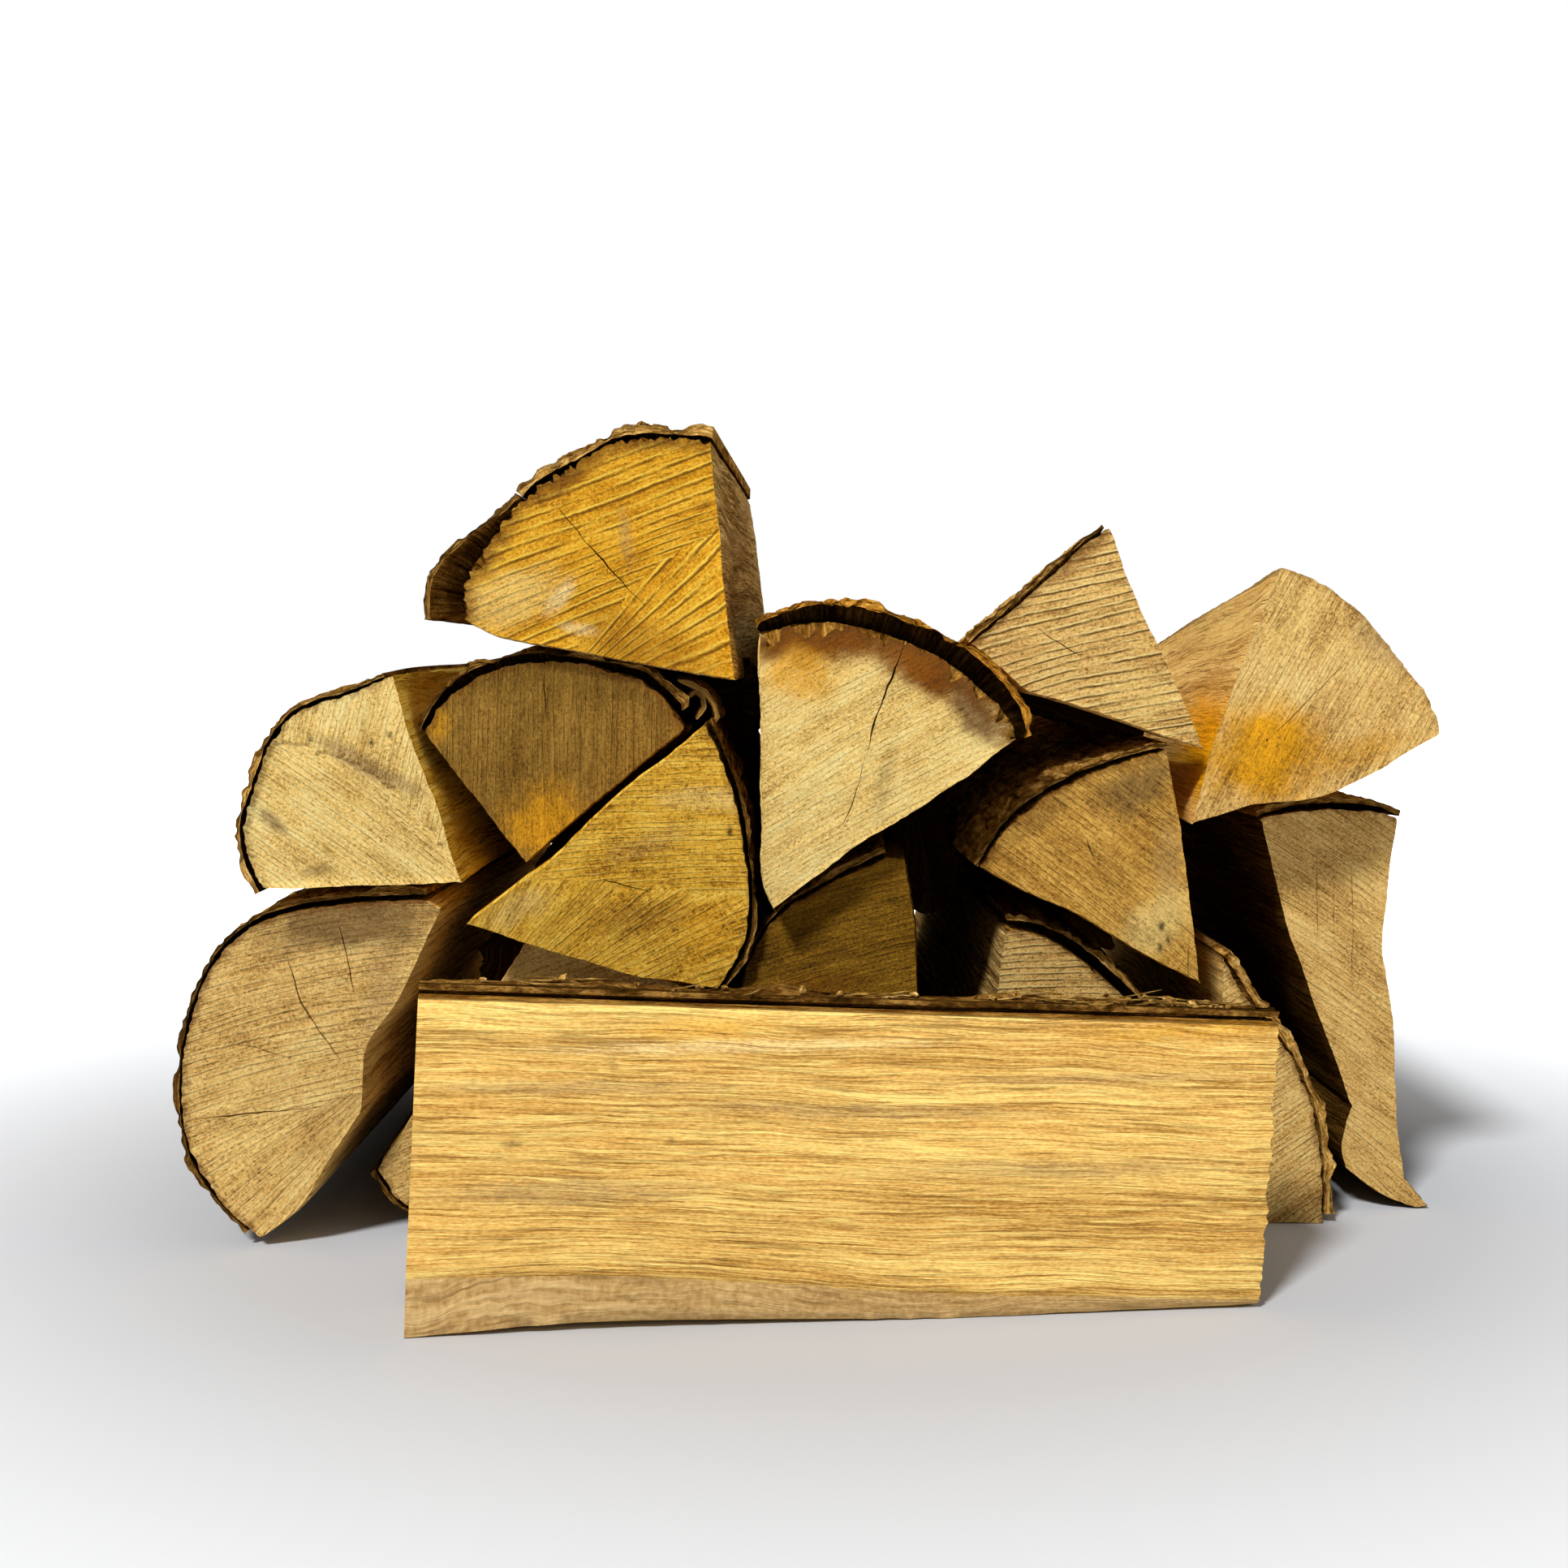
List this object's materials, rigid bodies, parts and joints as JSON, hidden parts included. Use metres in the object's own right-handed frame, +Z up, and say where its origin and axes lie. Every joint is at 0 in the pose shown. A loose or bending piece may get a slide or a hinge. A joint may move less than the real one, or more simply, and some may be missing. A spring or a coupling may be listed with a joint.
{
  "type": "stack of split firewood",
  "caption": "Heap of split hardwood logs with bark, end grain to the front, with one log lying across the front.",
  "frame": {"origin": "centre of the heap's bounding box, on the ground", "axes": "+Z up; the stacked logs lie along Y with the viewed end grain towards -Y; +X to the viewer's right"},
  "size_m": [0.5582, 0.5122, 0.353],
  "materials": {
    "golden_wood": "sawn and split bare wood, matte",
    "pale_wood": "sawn and split bare wood, matte",
    "shaded_wood": "sawn and split bare wood, matte",
    "bark": "rough bark, matte"
  },
  "bodies": {
    "root": {"top_billet": "golden_wood", "top_bark_slab": "bark", "top_bark": "bark", "upper_left_billet": "pale_wood", "upper_left_bark": "bark", "middle_billet": "shaded_wood", "middle_bark": "bark", "heart_billet": "golden_wood", "heart_bark": "bark", "lower_left_billet": "pale_wood", "lower_left_bark": "bark", "foot_left_billet": "shaded_wood", "foot_left_bark": "bark", "centre_billet": "pale_wood", "centre_bark": "bark", "foot_centre_billet": "shaded_wood", "foot_centre_bark": "bark", "upper_right_billet": "pale_wood", "upper_right_bark": "bark", "right_billet": "golden_wood", "lower_right_billet": "golden_wood", "lower_right_bark": "bark", "foot_right_billet": "pale_wood", "foot_right_bark": "bark", "small_right_billet": "pale_wood", "small_right_bark": "bark", "outer_right_billet": "pale_wood", "outer_right_bark": "bark", "front_billet": "golden_wood", "front_bark": "bark"}
  },
  "joints": []
}
